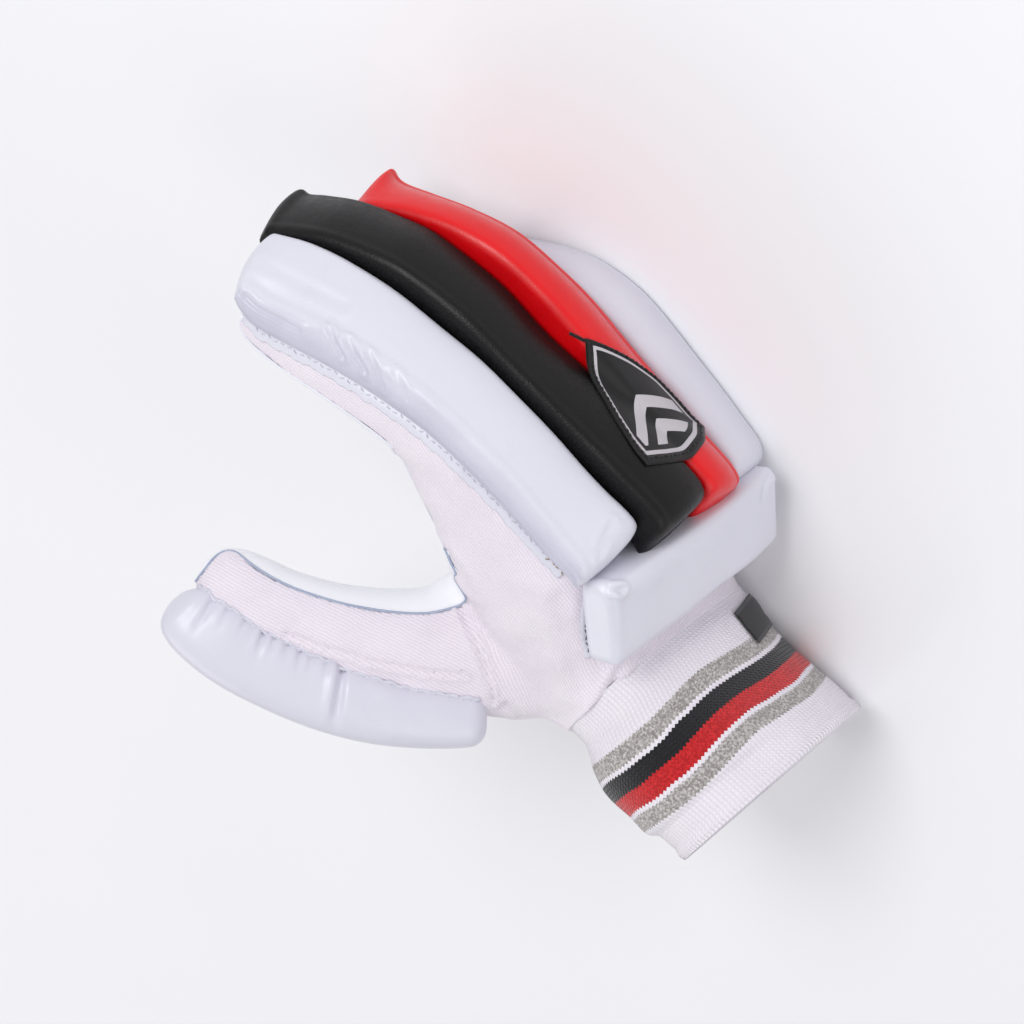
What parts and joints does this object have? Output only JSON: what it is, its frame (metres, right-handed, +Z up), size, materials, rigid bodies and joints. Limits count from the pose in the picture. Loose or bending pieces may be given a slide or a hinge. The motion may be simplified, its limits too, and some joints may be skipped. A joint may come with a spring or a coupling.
{
  "type": "cricket batting glove",
  "caption": "Right-hand cricket batting glove with padded finger rolls, a thumb pad, a wrist pad, a shield patch and a striped elastic knit cuff, lying on its little-finger side.",
  "frame": {"origin": "on the floor, at the middle of the flat patch of the knit body's little-finger side that the glove rests on, under the knuckles", "axes": "+X towards the fingertips, +Y to the palm side, +Z up towards the thumb side"},
  "size_m": [0.2719, 0.1538, 0.1646],
  "materials": {
    "knit_cotton": "fine ribbed cotton knit",
    "palm_leather": "soft matte leather",
    "white_vinyl": "smooth satin padded leather",
    "black_vinyl": "fine-grained satin padded leather",
    "red_vinyl": "fine-grained satin padded leather",
    "badge_patch": "moulded rubbery patch, satin",
    "cuff_knit": "elastic rib knit with woven stripes",
    "woven_label": "plain woven label"
  },
  "bodies": {
    "root": {"knit_back": "knit_cotton", "knit_thumb_side": "knit_cotton", "knit_little_side": "knit_cotton", "palm_leather": "palm_leather", "index_stall": "knit_cotton", "index_leather": "palm_leather", "middle_stall": "knit_cotton", "middle_leather": "palm_leather", "ring_stall": "knit_cotton", "ring_leather": "palm_leather", "little_stall": "knit_cotton", "little_leather": "palm_leather", "thumb_stall": "knit_cotton", "thumb_leather": "palm_leather", "index_roll": "white_vinyl", "middle_roll": "black_vinyl", "ring_roll": "red_vinyl", "little_roll": "white_vinyl", "thumb_pad": "white_vinyl", "wrist_pad": "white_vinyl", "badge": "badge_patch", "cuff": "cuff_knit", "cuff_label": "woven_label"}
  },
  "joints": []
}
